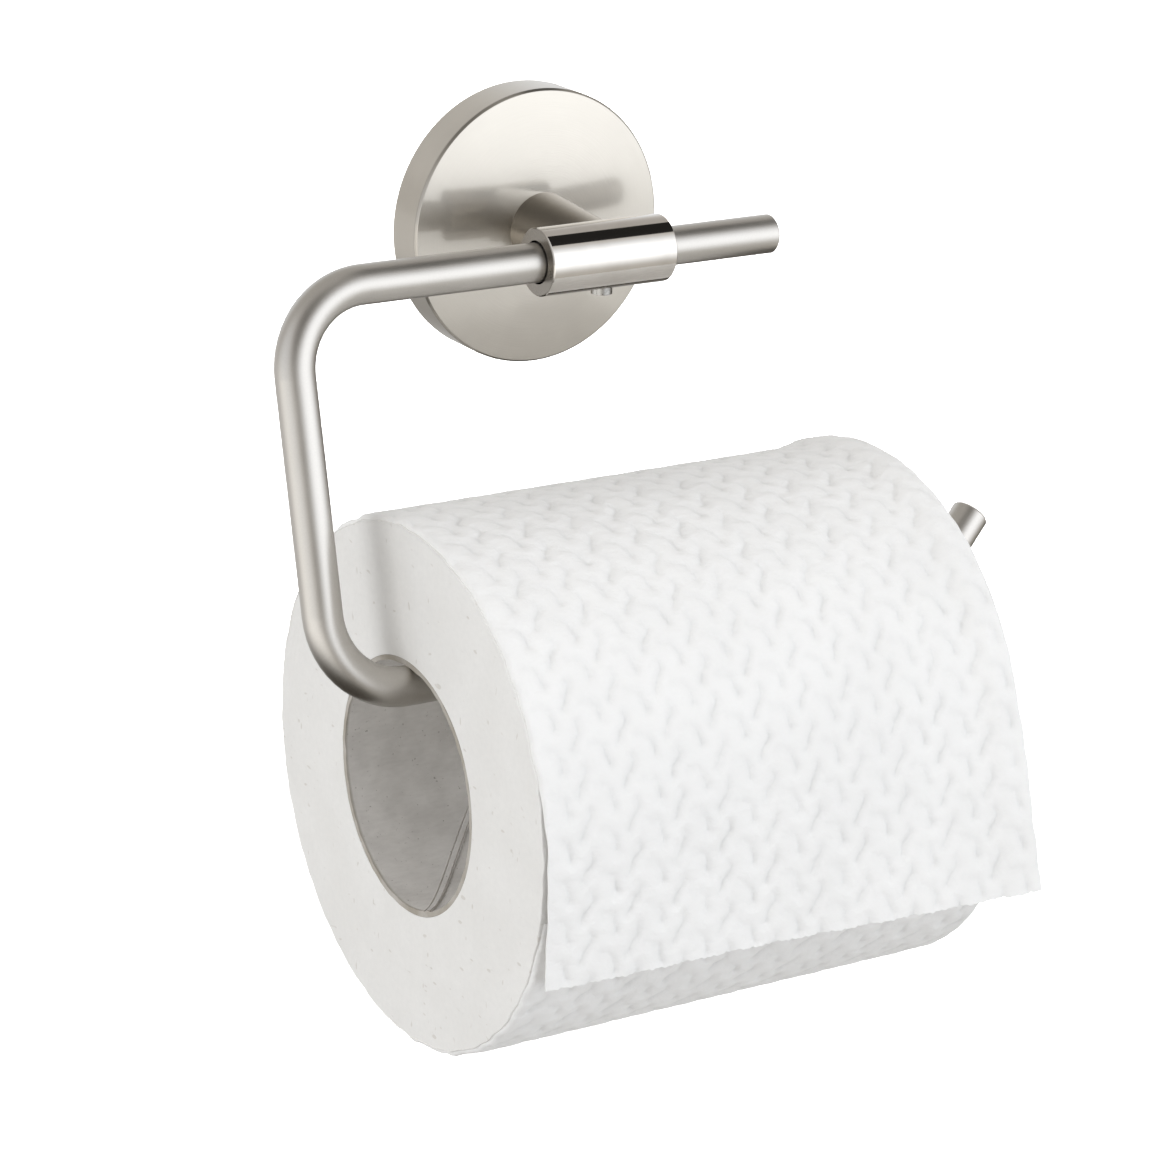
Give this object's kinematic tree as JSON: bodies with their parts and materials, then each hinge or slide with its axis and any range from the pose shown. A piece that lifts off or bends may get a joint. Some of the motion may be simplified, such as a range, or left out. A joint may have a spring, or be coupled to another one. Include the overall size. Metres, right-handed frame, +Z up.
{
  "type": "toilet paper holder",
  "caption": "Wall-hung toilet paper holder: round flange, short stem and sleeve, and a bent round bar that swings in the sleeve and carries a roll of embossed tissue.",
  "frame": {"origin": "middle of the flange's back, on the wall plane", "axes": "+Y points into the wall, +X to the right along the sleeve, +Z up"},
  "size_m": [0.1491, 0.1082, 0.1658],
  "materials": {
    "satin_steel": "satin",
    "polished_steel": "polished",
    "zinc_plate": "matte",
    "screw_steel": "satin",
    "board": "matte",
    "tissue": "matte"
  },
  "bodies": {
    "wall_mount": {"wall_plate": "zinc_plate", "flange": "satin_steel", "flange_screw": "screw_steel", "stem": "satin_steel", "lock_washer": "zinc_plate", "stem_bolt": "screw_steel", "sleeve": "polished_steel", "sleeve_screw": "screw_steel"},
    "arm": {"arm": "satin_steel"},
    "outer_turn": {"loose_sheet": "tissue"},
    "roll": {"core_tube": "board", "paper_winding": "tissue"}
  },
  "joints": [
    {"name": "arm_swing", "type": "hinge", "parent": "wall_mount", "child": "arm", "pos_m": [0, -0.032, 0], "axis": [-1, 0, 0], "range_deg": [0, 135]},
    {"name": "roll_hang", "type": "hinge", "parent": "arm", "child": "outer_turn", "pos_m": [0, -0.0501, -0.0702], "axis": [-1, 0, 0], "range_deg": [-135, 0]},
    {"name": "roll_spin", "type": "hinge", "parent": "outer_turn", "child": "roll", "pos_m": [0, -0.0501, -0.0897], "axis": [1, 0, 0], "continuous": true}
  ],
  "couplings": [
    {"joint": "roll_hang", "follows": "arm_swing", "ratio": -1}
  ]
}
